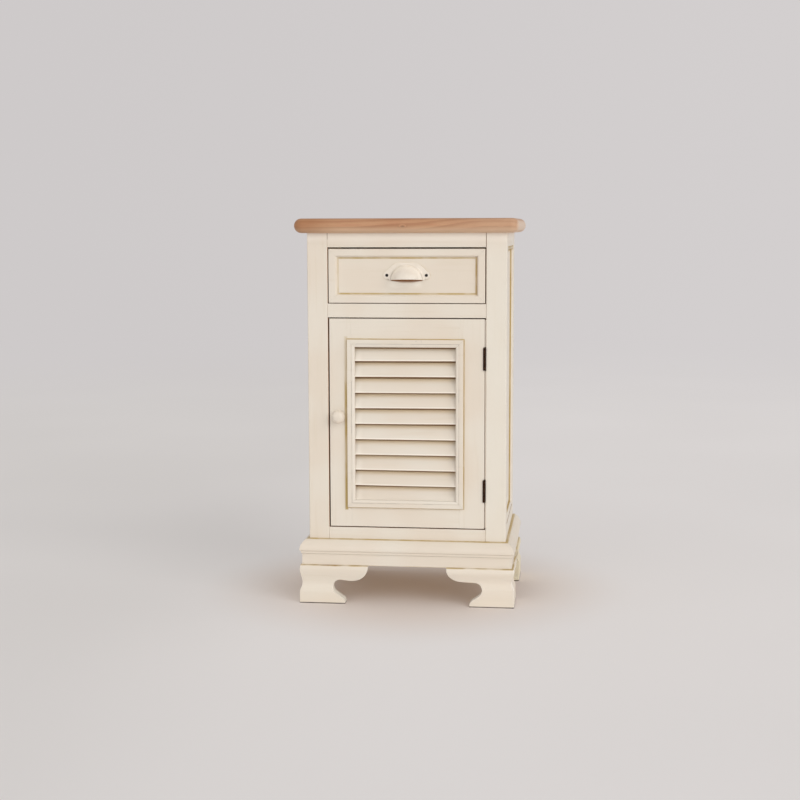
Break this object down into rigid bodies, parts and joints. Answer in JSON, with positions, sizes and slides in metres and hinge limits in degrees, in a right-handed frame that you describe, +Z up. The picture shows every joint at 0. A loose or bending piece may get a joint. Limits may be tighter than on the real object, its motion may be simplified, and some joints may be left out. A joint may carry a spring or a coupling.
{
  "type": "nightstand",
  "caption": "Cream painted nightstand with a wooden top, a drawer with a cup pull, a louvred door with a knob, and ogee bracket feet.",
  "frame": {"origin": "centre of the whole object's print on the floor, at floor level", "axes": "+X to the right seen from the front, the front faces -Y, +Z up"},
  "size_m": [0.404, 0.3, 0.702],
  "materials": {
    "cream_paint": "satin cream paint with a gold glaze in the grooves",
    "top_wood": "light brown lacquered wood with open grain",
    "inner_wood": "bare pale wood",
    "hinge_metal": "dark bronzed metal",
    "pull_metal": "cream paint over cast metal",
    "screw_metal": "blackened screw heads",
    "catch_metal": "plated steel"
  },
  "bodies": {
    "cabinet": {"top_board": "top_wood", "front_post_left": "cream_paint", "front_post_right": "cream_paint", "rear_post_left": "cream_paint", "rear_post_right": "cream_paint", "top_rail": "cream_paint", "middle_rail": "cream_paint", "bottom_rail": "cream_paint", "side_top_rail_left": "cream_paint", "side_top_rail_right": "cream_paint", "side_bottom_rail_left": "cream_paint", "side_bottom_rail_right": "cream_paint", "side_panel_left": "cream_paint", "side_panel_right": "cream_paint", "side_moulding_left": "cream_paint", "side_moulding_right": "cream_paint", "back_panel": "inner_wood", "back_top_rail": "cream_paint", "back_bottom_rail": "cream_paint", "cabinet_floor": "inner_wood", "shelf": "inner_wood", "shelf_cleats": "inner_wood", "drawer_runner_left": "inner_wood", "drawer_runner_right": "inner_wood", "drawer_kickers": "inner_wood", "plinth_front": "cream_paint", "plinth_left": "cream_paint", "plinth_right": "cream_paint", "foot_front_left": "cream_paint", "foot_front_right": "cream_paint", "foot_side_front_left": "cream_paint", "foot_side_front_right": "cream_paint", "foot_side_rear_left": "cream_paint", "foot_side_rear_right": "cream_paint", "rear_foot_brace_left": "cream_paint", "rear_foot_brace_right": "cream_paint", "foot_glue_blocks": "inner_wood", "door_catch": "catch_metal", "hinge_post_leaves": "hinge_metal", "hinge_pins": "hinge_metal", "hinge_post_screws": "hinge_metal"},
    "drawer": {"drawer_front": "cream_paint", "drawer_border": "cream_paint", "drawer_side_left": "inner_wood", "drawer_side_right": "inner_wood", "drawer_back": "inner_wood", "drawer_bottom": "inner_wood", "cup_pull": "pull_metal", "pull_screws": "screw_metal"},
    "door": {"door_stile_knob": "cream_paint", "door_stile_hinge": "cream_paint", "door_rail_top": "cream_paint", "door_rail_bottom": "cream_paint", "louvre_moulding": "cream_paint", "louvre_slats": "cream_paint", "door_knob": "cream_paint", "knob_screw": "catch_metal", "hinge_door_leaves": "hinge_metal", "hinge_door_screws": "hinge_metal", "catch_plate": "catch_metal"}
  },
  "joints": [
    {"name": "drawer_slide", "type": "slide", "parent": "cabinet", "child": "drawer", "axis": [0, -1, 0], "range_m": [0, 0.2]},
    {"name": "door_hinge", "type": "hinge", "parent": "cabinet", "child": "door", "pos_m": [0.1405, -0.129, 0.333], "axis": [0, 0, 1], "range_deg": [0, 170]}
  ]
}
